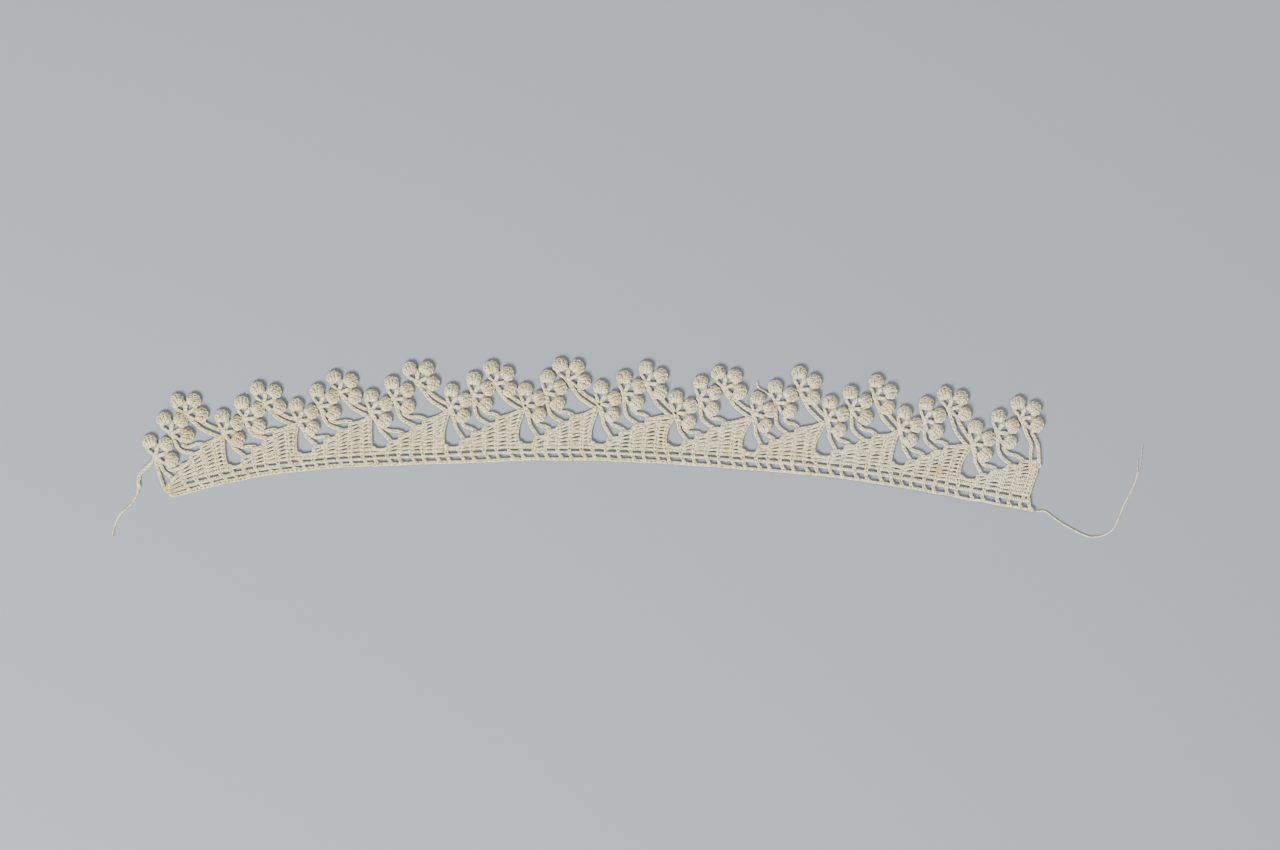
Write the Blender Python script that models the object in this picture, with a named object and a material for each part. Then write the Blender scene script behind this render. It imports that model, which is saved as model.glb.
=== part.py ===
"""A crocheted lace edging that lies flat in a shallow arch: rows of shamrocks on a stepped ground.

The work is one piece of cotton crochet. It has a straight heading, a solid ground whose top edge
climbs in three steps over each repeat, and three shamrocks to a repeat, each of three puffed
leaves round a hub, tied to the ground by two chain stems. A thread tail hangs from each end.

X runs along the lace, +Y points to the shamrocks and +Z is up. The origin is at the middle of
the box round the lace, on the surface that it lies on.
"""
import math
from collections import namedtuple

import bmesh
import bpy
from mathutils import Matrix, Vector

# Sizes, in millimetres
MM = 0.001
GROUND_THICK = 1.1
STEM_WIDE = 1.15
STEM_HIGH = 0.9
HUB_WIDE = 2.2
HUB_TOP_WIDE = 1.8
HUB_HIGH = 1.2
HUB_SIDES = 6
LEAF_WIDE = 4.8
LEAF_FOOT_WIDE = 4.2
LEAF_HIGH = 2.2
LEAF_WAIST_HIGH = 1.2
LEAF_REACH = 4.9
LEAF_SIDES = 8
THREAD_THICK = 0.42
CHAIN_THICK = 0.6
TAIL_CLEAR = 0.03
TAIL_STEP = 2.5 * THREAD_THICK
WELD = 0.01

# The lace rests on its ground. The shamrocks and stems start a little higher, each kind at heights
# of its own, so that no two faces lie in one plane
SHAMROCK_CLEAR = (0.22, 0.26, 0.30)
STEM_CLEAR = (0.34, 0.38)

# The heading's line, from its left corner
HEADING_X = -126.2
HEADING_Y = -18.8
FIRST_WALL = -4.0
WALK_BEFORE = 12.0
WALK_AFTER = 12.0
WALK_STEP = 0.5

# One row a repeat: length along the heading and its slope in degrees, how far the ground's top
# edge stands above the pattern, how high the heading's broad holes stand open, then for each
# shamrock its shift along, its shift up and its turn
Repeat = namedtuple("Repeat", "length slope lift hole shamrocks")
REPEATS = (
    Repeat(22.0, 15.0, -0.3, 0.40, ((0.3, -3.6, 8), (-0.2, -2.0, 12), (-1.2, -0.9, 18))),
    Repeat(20.7, 9.0, -0.3, 0.45, ((-0.9, -1.4, -6), (-1.4, -2.7, -2), (-2.0, -2.5, 15))),
    Repeat(22.1, 3.5, 0.0, 0.50, ((-0.5, -1.6, 2), (-1.0, -1.7, 5), (-1.8, -1.3, 16))),
    Repeat(21.8, 1.5, 0.2, 0.70, ((-1.5, -0.3, -1), (-1.6, -0.7, 5), (-1.0, 0.7, 29))),
    Repeat(22.2, 3.0, 0.0, 0.95, ((0.4, 0.5, -6), (0.8, -0.3, -6), (0.7, -0.7, 11))),
    Repeat(21.5, 0.0, 0.0, 1.10, ((0.3, -0.2, -1), (-0.5, -0.4, -8), (-0.8, 0.1, 28))),
    Repeat(22.3, -2.5, 0.0, 0.90, ((0.3, 0.3, -4), (0.5, -0.2, 1), (0.4, -0.3, 5))),
    Repeat(22.7, -4.5, 0.3, 1.10, ((0.3, -1.3, 3), (0.3, -0.5, 0), (0.7, -0.1, 25))),
    Repeat(21.7, -4.0, 0.3, 1.30, ((1.0, 0.2, -9), (0.7, 0.0, 7), (0.5, 1.2, 7))),
    Repeat(22.7, -8.0, 1.0, 1.30, ((0.7, 0.5, -3), (0.4, 0.4, 11), (0.0, 1.4, 4))),
    Repeat(20.8, -10.5, 1.4, 1.35, ((-0.9, 0.8, -6), (-1.2, 0.4, 2), (-1.1, 1.6, 28))),
    Repeat(24.0, -10.5, 1.2, 1.35, ((0.3, 0.1, 2), (0.1, 0.9, 6), (-0.1, 2.8, 23))),
)

# One pattern repeat, drawn 22 mm long: (along from the wall, up from the heading)
PATTERN_LENGTH = 22.0
HUBS = ((1.8, 16.8), (8.5, 20.7), (15.1, 24.1))
LEAF_ANGLES = (90, 26, -35)
GROUND_TOP = (
    (0.0, 9.6), (0.1, 6.3), (0.6, 5.9), (4.3, 5.9), (5.1, 7.4), (8.2, 7.7), (8.6, 9.3),
    (11.2, 9.7), (12.8, 11.6), (15.5, 12.0), (16.0, 13.4), (18.5, 14.0), (21.0, 14.6),
)
WALL_TOP_FROM_HUB = (-0.5, -1.0)
LEFT_END = ((0.4, 0.0), (-0.9, 0.8), (-1.6, 2.4), (-1.6, 3.8), (-0.6, 4.8), (1.0, 5.4))
RIGHT_END = ((-0.7, 17.0), (-0.8, 12.3), (-1.7, 7.8), (-2.0, 5.0), (-1.2, 1.2), (0.0, 0.0))
HEADING_POINTS_PER_REPEAT = 3

# The heading's broad holes, one to each pair of rows of stitches. Those that the thread all but
# closes aren't cut
ROWS_PER_REPEAT = 6
HOLE_MIDDLE = 1.65
HOLE_WIDE = 2.7
SMALLEST_HOLE = 0.6
ROWS_PER_HOLE = 2

# Stems of the pattern, each a row of (along, up): the first of each pair runs from the hub, the
# second from under the lower leaf, and both go to the ground
STEMS = (
    (((1.8, 16.8), (2.6, 13.6), (2.9, 11.4), (4.0, 9.2), (5.6, 7.2)),
     ((4.6, 12.6), (5.8, 11.0), (7.8, 10.5), (8.8, 9.0))),
    (((8.5, 20.7), (9.7, 17.9), (9.6, 15.4), (10.8, 13.4), (13.1, 11.4)),
     ((11.5, 16.5), (12.5, 14.5), (14.4, 13.9), (16.3, 13.1))),
    (((15.1, 24.1), (16.9, 20.9), (17.8, 18.4), (19.3, 16.4), (21.8, 14.6)),
     ((18.4, 20.8), (20.2, 17.4), (22.2, 16.2), (23.8, 16.8))),
)
LAST_STEMS = (
    ((15.1, 24.1), (16.6, 19.8), (16.7, 17.6), (18.5, 15.4), (18.7, 12.2)),
    ((18.4, 20.8), (20.0, 16.9), (20.8, 14.9), (21.0, 12.6)),
)
CORNER_STEM = ((1.8, 16.8), (1.9, 12.0), (2.2, 8.6), (2.5, 3.6))

# Thread tails, each a route of (x, y) that lies on the surface
TAIL_RIGHT = (
    (132.7, -22.9), (135.5, -23.0), (137.7, -24.6), (140.9, -26.8), (144.0, -28.5),
    (147.2, -30.1), (149.4, -30.7), (152.2, -30.4), (154.4, -29.5), (156.3, -27.8),
    (157.9, -24.3), (159.2, -21.1), (161.0, -17.7), (162.6, -14.2), (163.7, -11.0),
    (164.3, -8.2), (164.5, -5.7), (164.9, -3.1),
)
TAIL_LEFT = (
    (-132.4, -7.8), (-133.2, -8.7), (-134.2, -9.7), (-135.2, -10.7), (-136.0, -11.7),
    (-136.5, -12.8), (-136.7, -13.9), (-136.6, -15.0), (-136.6, -16.0), (-137.2, -18.1),
    (-138.9, -20.6), (-140.5, -22.2), (-142.0, -23.6), (-143.5, -26.4), (-144.3, -29.1),
    (-144.4, -30.7),
)

# Steps between two points of a route when a smooth curve is run through it
ROUTE_PARTS = 12

Station = namedtuple("Station", "x y angle")
Colour =namedtuple("Colour", "red green blue")
COTTON = Colour(0.66, 0.63, 0.54)
COTTON_ROUGH = 0.85


def repeat_starts():
    """Give the place along the heading where each repeat's wall stands, and the far end."""
    starts = [FIRST_WALL]
    for repeat in REPEATS:
        starts.append(starts[-1] + repeat.length)
    return starts


def slope_at(along, starts):
    """Give the heading's slope in radians, which changes evenly from repeat to repeat."""
    middles = [(max(a, 0.0) + b) / 2 for a, b in zip(starts, starts[1:])]
    if along <= middles[0]:
        return math.radians(REPEATS[0].slope)
    for i in range(1, len(middles)):
        if along <= middles[i]:
            share = (along - middles[i - 1]) / (middles[i] - middles[i - 1])
            slope = REPEATS[i - 1].slope * (1 - share) + REPEATS[i].slope * share
            return math.radians(slope)
    return math.radians(REPEATS[-1].slope)


def walk_heading(starts):
    """Walk the heading's line in short steps and give the station at each."""
    first_slope = math.radians(REPEATS[0].slope)
    x = HEADING_X - WALK_BEFORE * math.cos(first_slope)
    y = HEADING_Y - WALK_BEFORE * math.sin(first_slope)
    stations = []
    steps = round((WALK_BEFORE + starts[-1] + WALK_AFTER) / WALK_STEP)
    for i in range(steps + 1):
        slope = slope_at(i * WALK_STEP - WALK_BEFORE, starts)
        stations.append(Station(x, y, slope))
        x += math.cos(slope) * WALK_STEP
        y += math.sin(slope) * WALK_STEP
    return stations


def station_at(along, stations):
    """Read the heading's line between two stations."""
    place = (along + WALK_BEFORE) / WALK_STEP
    i = min(max(int(place), 0), len(stations) - 2)
    share = place - i
    a, b = stations[i], stations[i + 1]
    return Station(*(p * (1 - share) + q * share for p, q in zip(a, b)))


def on_surface(along, up, stations):
    """Turn a place on the lace into x and y."""
    base = station_at(along, stations)
    return Vector((base.x - math.sin(base.angle) * up, base.y + math.cos(base.angle) * up))


def hub_place(index, number, starts):
    """Give a hub's place on the lace."""
    shift = REPEATS[index].shamrocks[number]
    along, up = HUBS[number]
    return starts[index] + along + shift[0], up + shift[1]


def ground_place(index, along, up, starts):
    """Put a point of the ground's pattern on its repeat."""
    repeat = REPEATS[index]
    return starts[index] + along * repeat.length / PATTERN_LENGTH, up + repeat.lift


def ground_outline(starts):
    """Give the ground's outline, from the left corner over the top and back along the heading."""
    top = list(LEFT_END)
    for index in range(len(REPEATS)):
        for along, up in GROUND_TOP:
            place = ground_place(index, along, up, starts)
            if place[0] > LEFT_END[-1][0]:
                top.append(place)
        if index + 1 < len(REPEATS):
            hub = hub_place(index + 1, 0, starts)
            top.append(tuple(h + w for h, w in zip(hub, WALL_TOP_FROM_HUB)))
    top = [p for p in top if p[0] < starts[-1] + RIGHT_END[0][0]]
    end = [(starts[-1] + along, up) for along, up in RIGHT_END]
    count = HEADING_POINTS_PER_REPEAT * len(REPEATS)
    edge = [(starts[-1] * i / count, 0.0) for i in range(count - 1, 0, -1)]
    return top + end + edge


def heading_holes(starts):
    """Give the four corners of each broad hole in the heading."""
    holes = []
    for start, repeat in zip(starts, REPEATS):
        if repeat.hole < SMALLEST_HOLE:
            continue
        low, high = HOLE_MIDDLE - repeat.hole / 2, HOLE_MIDDLE + repeat.hole / 2
        for row in range(0, ROWS_PER_REPEAT, ROWS_PER_HOLE):
            middle = start + (row + 0.5) * repeat.length / ROWS_PER_REPEAT
            left, right = middle - HOLE_WIDE / 2, middle + HOLE_WIDE / 2
            holes.append(((left, low), (left, high), (right, high), (right, low)))
    return holes


def smooth_route(points, step):
    """Run a smooth curve through a route's points and read it at an even spacing."""
    ends = [2 * points[0] - points[1]] + points + [2 * points[-1] - points[-2]]
    fine = []
    for i in range(1, len(ends) - 2):
        p0, p1, p2, p3 = ends[i - 1:i + 3]
        for j in range(ROUTE_PARTS):
            t = j / ROUTE_PARTS
            fine.append(0.5 * (2 * p1 + (p2 - p0) * t + (2 * p0 - 5 * p1 + 4 * p2 - p3) * t ** 2
                               + (3 * p1 - p0 - 3 * p2 + p3) * t ** 3))
    fine.append(points[-1])
    lengths = [0.0]
    for a, b in zip(fine, fine[1:]):
        lengths.append(lengths[-1] + (b - a).length)
    count = max(round(lengths[-1] / step), 1)
    even = []
    k = 0
    for i in range(count + 1):
        want = lengths[-1] * i / count
        while k < len(fine) - 2 and lengths[k + 1] < want:
            k += 1
        span = lengths[k + 1] - lengths[k]
        even.append(fine[k].lerp(fine[k + 1], (want - lengths[k]) / span))
    return even


def cotton_material(name):
    """Make the plain look of unbleached cotton thread."""
    material = bpy.data.materials.new(name)
    material.use_nodes = True
    shader = material.node_tree.nodes["Principled BSDF"]
    shader.inputs["Base Color"].default_value = (*COTTON, 1.0)
    shader.inputs["Roughness"].default_value = COTTON_ROUGH
    shader.inputs["Metallic"].default_value = 0.0
    material.diffuse_color = (*COTTON, 1.0)
    return material


def add_object(name, data, collection):
    """Put a mesh or a curve in the scene under its name."""
    thing = bpy.data.objects.new(name, data)
    collection.objects.link(thing)
    return thing


def curve_to_mesh(thing, collection):
    """Make a curve object a mesh with welded caps, under the same name."""
    bpy.context.view_layer.update()
    solid = thing.evaluated_get(bpy.context.evaluated_depsgraph_get())
    mesh = bpy.data.meshes.new_from_object(solid)
    shape = bmesh.new()
    shape.from_mesh(mesh)
    bmesh.ops.remove_doubles(shape, verts=shape.verts, dist=WELD * MM)
    bmesh.ops.recalc_face_normals(shape, faces=shape.faces)
    shape.to_mesh(mesh)
    shape.free()
    name = thing.name
    place = thing.matrix_world.copy()
    bpy.data.objects.remove(thing)
    piece = add_object(name, mesh, collection)
    piece.matrix_world = place
    return piece


def make_ground(stations, starts, collection):
    """Make the ground with its heading holes as one flat outline of even thickness."""
    flat = bpy.data.curves.new("ground", "CURVE")
    flat.dimensions = "2D"
    flat.fill_mode = "BOTH"
    flat.extrude = GROUND_THICK / 2 * MM
    for outline in [ground_outline(starts)] + heading_holes(starts):
        spline = flat.splines.new("POLY")
        spline.points.add(len(outline) - 1)
        for point, (along, up) in zip(spline.points, outline):
            point.co = (*(on_surface(along, up, stations) * MM), 0.0, 1.0)
        spline.use_cyclic_u = True
    ground = add_object("ground", flat, collection)
    ground.location.z = GROUND_THICK / 2 * MM
    return curve_to_mesh(ground, collection)


def stem_routes(starts):
    """Give every chain stem's route on the lace."""
    routes = []
    corner_shift = REPEATS[0].shamrocks[0]
    routes.append(blend_route(CORNER_STEM, 0, corner_shift[:2], (0.0, 0.0), starts))
    for index, repeat in enumerate(REPEATS):
        for number, pair in enumerate(STEMS):
            if index + 1 == len(REPEATS) and number + 1 == len(STEMS):
                pair = LAST_STEMS
            shift = repeat.shamrocks[number]
            stretch = repeat.length / PATTERN_LENGTH
            for route in pair:
                foot = (route[-1][0] * (stretch - 1), repeat.lift)
                routes.append(blend_route(route, index, shift[:2], foot, starts))
    return routes


def blend_route(route, index, hub_shift, foot_shift, starts):
    """Shift a route's start with its hub and its end with the ground."""
    placed = []
    for i, (along, up) in enumerate(route):
        share = i / (len(route) - 1)
        move = [h * (1 - share) + f * share for h, f in zip(hub_shift, foot_shift)]
        placed.append((starts[index] + along + move[0], up + move[1]))
    return placed


def make_stems(stations, starts, collection):
    """Make the chain stems as flat bars that follow their routes."""
    bars = bpy.data.curves.new("stems", "CURVE")
    bars.dimensions = "3D"
    bars.bevel_depth = STEM_WIDE / math.sqrt(2) * MM
    bars.bevel_resolution = 0
    bars.use_fill_caps = True
    flatten = STEM_HIGH / STEM_WIDE
    for number, route in enumerate(stem_routes(starts)):
        clear = STEM_CLEAR[number % len(STEM_CLEAR)]
        spline = bars.splines.new("POLY")
        spline.points.add(len(route) - 1)
        for point, (along, up) in zip(spline.points, route):
            point.co = (*(on_surface(along, up, stations) * MM), clear / flatten * MM, 1.0)
            point.tilt = math.pi / 4
    stems = curve_to_mesh(add_object("stems", bars, collection), collection)
    lift = Matrix.Translation((0, 0, STEM_HIGH / 2 * MM))
    stems.data.transform(lift @ Matrix.Diagonal((1, 1, flatten, 1)))
    return stems


def puff_leaf(shamrock, angle):
    """Add a puffed leaf, flat below, at its reach from the hub."""
    turn = Matrix.Rotation(angle, 4, "Z")
    side = Matrix.Rotation(math.pi / LEAF_SIDES, 4, "Z")
    made = bmesh.ops.create_uvsphere(shamrock, u_segments=LEAF_SIDES, v_segments=3,
                                     radius=LEAF_WIDE / 2, matrix=side)
    for vert in made["verts"]:
        ring = vert.co.xy.length
        at_pole = ring < WELD
        wide = LEAF_WIDE if vert.co.z > 0 else LEAF_FOOT_WIDE
        if not at_pole:
            vert.co.xy *= wide / 2 / ring
        if vert.co.z < 0:
            vert.co.z = 0.0
        else:
            vert.co.z = LEAF_HIGH if at_pole else LEAF_WAIST_HIGH
    shift = turn @ Matrix.Translation((LEAF_REACH, 0, 0))
    bmesh.ops.transform(shamrock, matrix=shift, verts=made["verts"])
    return made["verts"]


def side_facing(shamrock, faces, middle, towards):
    """Find the upright side face that looks most nearly along a direction."""
    uprights = [f for f in faces if len(f.verts) == 4]
    return max(uprights, key=lambda f: (f.calc_center_median() - middle).dot(towards))


def shamrock_shape():
    """Make three puffed leaves, each joined to a side of the six-sided hub."""
    shamrock = bmesh.new()
    middle = Matrix.Translation((0, 0, HUB_HIGH / 2))
    hub = bmesh.ops.create_cone(shamrock, cap_ends=True, segments=HUB_SIDES,
                                radius1=HUB_WIDE / 2, radius2=HUB_TOP_WIDE / 2,
                                depth=HUB_HIGH, matrix=middle)
    hub_verts = set(hub["verts"])
    for angle in LEAF_ANGLES:
        towards = Vector((math.cos(math.radians(angle)), math.sin(math.radians(angle)), 0))
        leaf_verts = set(puff_leaf(shamrock, math.radians(angle)))
        leaf_faces = [f for f in shamrock.faces if set(f.verts) <= leaf_verts]
        hub_faces = [f for f in shamrock.faces if set(f.verts) <= hub_verts]
        near = side_facing(shamrock, leaf_faces, towards * LEAF_REACH, -towards)
        far = side_facing(shamrock, hub_faces, Vector(), towards)
        rims = list(near.edges) + list(far.edges)
        bmesh.ops.delete(shamrock, geom=[near, far], context="FACES_ONLY")
        bmesh.ops.bridge_loops(shamrock, edges=rims)
    bmesh.ops.recalc_face_normals(shamrock, faces=shamrock.faces)
    mesh = bpy.data.meshes.new("shamrock")
    shamrock.to_mesh(mesh)
    shamrock.free()
    return mesh


def make_shamrocks(stations, starts, collection):
    """Set a shamrock, turned and in its place, at every hub."""
    pattern = shamrock_shape()
    row = bmesh.new()
    for index, repeat in enumerate(REPEATS):
        for number, (_, _, turn) in enumerate(repeat.shamrocks):
            along, up = hub_place(index, number, starts)
            hub = on_surface(along, up, stations)
            heading = station_at(along, stations).angle + math.radians(turn)
            place = Matrix.Translation((*hub, SHAMROCK_CLEAR[number]))
            known = set(row.verts)
            row.from_mesh(pattern)
            fresh = [v for v in row.verts if v not in known]
            bmesh.ops.transform(row, matrix=place @ Matrix.Rotation(heading, 4, "Z"), verts=fresh)
    bmesh.ops.scale(row, vec=(MM, MM, MM), verts=row.verts)
    mesh = bpy.data.meshes.new("shamrocks")
    row.to_mesh(mesh)
    row.free()
    bpy.data.meshes.remove(pattern)
    return add_object("shamrocks", mesh, collection)


def join_lace(ground, pieces, collection):
    """Join the ground, stems and shamrocks into one body."""
    whole = bmesh.new()
    for piece in pieces:
        bpy.context.view_layer.update()
        piece.data.transform(piece.matrix_world)
        whole.from_mesh(piece.data)
    mesh = bpy.data.meshes.new("openwork")
    whole.to_mesh(mesh)
    whole.free()
    openwork = add_object("openwork", mesh, collection)
    for piece in pieces:
        bpy.data.objects.remove(piece)
    union = ground.modifiers.new("join", "BOOLEAN")
    union.operation = "UNION"
    union.solver = "EXACT"
    union.use_self = True
    union.object = openwork
    bpy.context.view_layer.update()
    solid = ground.evaluated_get(bpy.context.evaluated_depsgraph_get())
    joined = bpy.data.meshes.new_from_object(solid)
    lace = add_object("lace", joined, collection)
    lace.matrix_world = ground.matrix_world.copy()
    bpy.data.objects.remove(ground)
    bpy.data.objects.remove(openwork)
    return lace


def make_tail(name, route, thick, collection):
    """Make a thread tail as a thin tube that lies on the surface."""
    points = [Vector((x, y, thick / 2 + TAIL_CLEAR)) for x, y in route]
    tube = bpy.data.curves.new(name, "CURVE")
    tube.dimensions = "3D"
    tube.bevel_depth = thick / 2 * MM
    tube.bevel_resolution = 2
    tube.use_fill_caps = True
    spline = tube.splines.new("POLY")
    even = smooth_route(points, TAIL_STEP)
    spline.points.add(len(even) - 1)
    for point, place in zip(spline.points, even):
        point.co = (*(place * MM), 1.0)
    return add_object(name, tube, collection)


def main():
    """Build the lace and its two tails."""
    for thing in list(bpy.data.objects):
        bpy.data.objects.remove(thing)
    collection = bpy.data.collections.new("crocheted_lace_edging")
    bpy.context.scene.collection.children.link(collection)
    starts = repeat_starts()
    stations = walk_heading(starts)
    ground = make_ground(stations, starts, collection)
    stems = make_stems(stations, starts, collection)
    shamrocks = make_shamrocks(stations, starts, collection)
    lace = join_lace(ground, [stems, shamrocks], collection)
    lace.data.materials.append(cotton_material("cotton_lace"))
    right = make_tail("tail_right", TAIL_RIGHT, THREAD_THICK, collection)
    left = make_tail("tail_left", TAIL_LEFT, CHAIN_THICK, collection)
    for tail in (right, left):
        tail.data.materials.append(cotton_material("cotton_thread"))


main()
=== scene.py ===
"""Dresses the crocheted lace edging in its thread: each stitch of the ground, the chain stems, the
hubs and puffed leaves of the shamrocks, and the loose ends.

Every thread is a round tube that follows the way the yarn goes through its stitch, so the lace
throws its own small shadows. Places on the lace are given in millimetres as (along, up): along
the heading from its left corner, and up from the heading towards the shamrocks.
"""
import math
import random
from collections import namedtuple

import bmesh
import bpy
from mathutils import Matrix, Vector


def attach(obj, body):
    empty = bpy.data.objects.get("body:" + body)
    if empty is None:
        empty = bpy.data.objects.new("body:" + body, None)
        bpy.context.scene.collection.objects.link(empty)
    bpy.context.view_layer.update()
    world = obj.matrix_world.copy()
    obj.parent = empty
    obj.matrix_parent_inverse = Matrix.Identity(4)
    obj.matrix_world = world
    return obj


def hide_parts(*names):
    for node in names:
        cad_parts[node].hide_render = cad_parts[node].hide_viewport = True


bl_info = {
    "name": "Crocheted lace edging",
    "version": (1, 0, 0),
    "blender": (4, 5, 0),
    "location": "3D View > Sidebar > Lace",
    "description": "Builds a crocheted cotton edging with shamrocks from its thread",
    "category": "Object",
}

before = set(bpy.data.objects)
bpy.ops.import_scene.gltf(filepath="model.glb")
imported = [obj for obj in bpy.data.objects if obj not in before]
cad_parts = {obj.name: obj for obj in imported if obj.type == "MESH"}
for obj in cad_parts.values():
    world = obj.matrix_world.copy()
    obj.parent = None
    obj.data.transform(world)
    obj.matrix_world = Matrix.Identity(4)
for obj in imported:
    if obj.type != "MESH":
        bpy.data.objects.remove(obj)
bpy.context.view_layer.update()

MM = 0.001

# Thickness of the crochet thread, and how far loose yarn is kept over the board
THREAD = 0.42
KEEP_OVER = 0.02

# The heading's line, from its left corner
HEADING_X = -126.2
HEADING_Y = -18.8
FIRST_WALL = -4.0
WALK_BEFORE = 12.0
WALK_AFTER = 12.0
WALK_STEP = 0.5

# One row a repeat: length along the heading and its slope in degrees, how far the ground's top
# edge stands above the pattern, how high the heading's holes stand open, where the slits over
# them are and how far the bars between the holes are drawn along, then for each shamrock its
# shift along, its shift up and its turn
Repeat = namedtuple("Repeat", "length slope lift hole slit bars shamrocks")
REPEATS = (
    Repeat(22.0, 15.0, -0.3, 0.40, 3.20, 2.0, ((0.3, -3.6, 8), (-0.2, -2.0, 12), (-1.2, -0.9, 18))),
    Repeat(20.7, 9.0, -0.3, 0.45, 3.25, 1.7, ((-0.9, -1.4, -6), (-1.4, -2.7, -2), (-2.0, -2.5, 15))),
    Repeat(22.1, 3.5, 0.0, 0.60, 3.05, 1.3, ((-0.5, -1.6, 2), (-1.0, -1.7, 5), (-1.8, -1.3, 16))),
    Repeat(21.8, 1.5, 0.2, 1.00, 3.15, 1.2, ((-1.5, -0.3, -1), (-1.6, -0.7, 5), (-1.0, 0.7, 29))),
    Repeat(22.2, 3.0, 0.0, 1.05, 3.40, 1.3, ((0.4, 0.5, -6), (0.8, -0.3, -6), (0.7, -0.7, 11))),
    Repeat(21.5, 0.0, 0.0, 1.10, 3.20, 1.2, ((0.3, -0.2, -1), (-0.5, -0.4, -8), (-0.8, 0.1, 28))),
    Repeat(22.3, -2.5, 0.0, 0.90, 3.20, 1.2, ((0.3, 0.3, -4), (0.5, -0.2, 1), (0.4, -0.3, 5))),
    Repeat(22.7, -4.5, 0.3, 1.10, 3.35, 1.2, ((0.3, -1.3, 3), (0.3, -0.5, 0), (0.7, -0.1, 25))),
    Repeat(21.7, -4.0, 0.3, 1.45, 3.70, 1.3, ((1.0, 0.2, -9), (0.7, 0.0, 7), (0.5, 1.2, 7))),
    Repeat(22.7, -8.0, 1.0, 1.50, 3.75, 1.1, ((0.7, 0.5, -3), (0.4, 0.4, 11), (0.0, 1.4, 4))),
    Repeat(20.8, -10.5, 1.4, 1.45, 3.80, 0.0, ((-0.9, 0.8, -6), (-1.2, 0.4, 2), (-1.1, 1.6, 28))),
    Repeat(24.0, -10.5, 1.2, 1.50, 3.85, 0.0, ((0.3, 0.1, 2), (0.1, 0.9, 6), (-0.1, 2.8, 23))),
)
PARTS = (("left", 0, 4), ("middle", 4, 8), ("right", 8, 12))

# One pattern repeat, drawn 22 mm long: (along from the wall, up from the heading)
PATTERN_LENGTH = 22.0
HUBS = ((1.8, 16.8), (8.5, 20.7), (15.1, 24.1))
LEAF_ANGLES = (90, 26, -35)

# The wall at the end of a repeat stands straight between its foot and its bend, a little to the
# left of the row's end, and stops under the next repeat's first hub
WALL_FOOT = 5.4
WALL_BEND = 9.6
WALL_LEAN = 0.38
WALL_TOP_FROM_HUB = (-0.5, -1.0)

# The ends of the ground. At the left the first whole row's top starts low, and the ground's top
# runs on from the left edge to its own places that are farther along than LEFT_TOP_FROM
LEFT_EDGE = ((0.3, 0.4), (-0.7, 1.3), (-1.15, 2.4), (-0.8, 3.5), (0.8, 5.0))
RIGHT_EDGE = ((-0.6, 0.5), (-1.8, 1.5), (-2.8, 5.0), (-2.4, 7.8), (-1.75, 12.3), (-2.1, 15.4))
LEFT_ROW_TOP = 4.9
LEFT_TOP_FROM = 1.6

# The ground's rows of double crochet: the top of each at its left and its right, the ground's top
# line, how far the line between two rows leans, and how far under the top the chain along it lies
# and the lines between rows end
ROWS_PER_REPEAT = 6
ROW_TOPS = ((5.4, 5.3), (5.8, 7.5), (8.5, 9.6), (10.2, 11.8), (12.2, 13.6), (14.0, 14.6))
GROUND_TOP = (
    (0.4, 6.0), (1.3, 5.3), (3.2, 5.1), (4.6, 5.7), (5.3, 7.3), (8.2, 7.7), (8.6, 9.3),
    (11.2, 9.7), (12.8, 11.6), (15.5, 12.0), (16.0, 13.4), (18.5, 14.0), (20.4, 14.6),
)
ROW_LEAN = 1.1
TOP_CHAIN_UNDER = 0.42
EDGE_UNDER = 0.65

# The heading: the middle of its holes, the slits over them and the bars between the holes, which
# are shifted by turns to the right and to the left, and lean at their foot. Then each slit and
# hole that is closed, as its repeat and row
HOLE_MIDDLE = 1.65
SLIT_HIGH = 0.62
BAR_FOOT = 0.5
BAR_SHIFT = 0.28
BAR_LEAN = 0.6
LAST_BAR_SHIFT = -0.9
CLOSED_SLITS = ((5, 2),)
CLOSED_HOLES = ((0, 2),)

# The heading's edge: its stitches, where it stops before the lace's end, and how it waves
HEADING_PITCH = 1.2
HEADING_SHORT = 0.4
HEADING_WAVE = (-0.17, 0.1)

# A double crochet: its width, how much it may draw in and over what share of its length, how far
# it keeps from the next one and may stray, how high its yarn winds and how thick that is
STITCH_WIDE = 1.13
SLITS = (0.06, 0.2, 0.3, 0.37)
SLIT_REACH = 0.25
POST_INSET = 0.14
POST_STRAY = 0.05
POST_RISE = 0.2
POST_THICK = 1.14

# Half widths of the chains between rows, in the heading and in the ground, and along its top
BAR_HALF = 0.36
EDGE_HALF = 0.52
TOP_HALF = 0.34

# Stems of the pattern, each a row of (along, up). The first of a pair starts at its hub, and the
# second under the lower leaf. Two pairs go to the ground, and the third ends beside the next
# repeat's first hub or, in LAST_STEMS, on the ground at the lace's end
STEMS = (
    (((1.8, 16.8), (2.1, 14.9), (3.0, 12.8), (3.4, 10.8), (4.6, 9.0), (5.7, 7.3)),
     ((4.4, 12.6), (6.0, 10.8), (7.8, 10.3), (9.3, 9.6))),
    (((8.5, 20.7), (8.8, 18.8), (9.1, 16.5), (9.7, 14.3), (11.0, 12.9), (13.1, 11.6)),
     ((11.1, 16.3), (12.6, 14.9), (14.6, 14.6), (16.2, 13.7))),
    (((15.1, 24.1), (15.9, 22.4), (17.0, 20.7), (18.3, 18.7), (20.3, 17.1), (22.2, 15.7)),
     ((18.3, 21.3), (20.4, 19.3), (22.0, 18.1), (23.2, 17.6))),
)
LAST_STEMS = (
    ((15.1, 24.1), (17.1, 20.3), (18.6, 17.7), (18.5, 15.1), (18.6, 12.2)),
    ((18.9, 20.6), (20.7, 17.8), (21.1, 14.8), (21.1, 12.6)),
)

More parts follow.
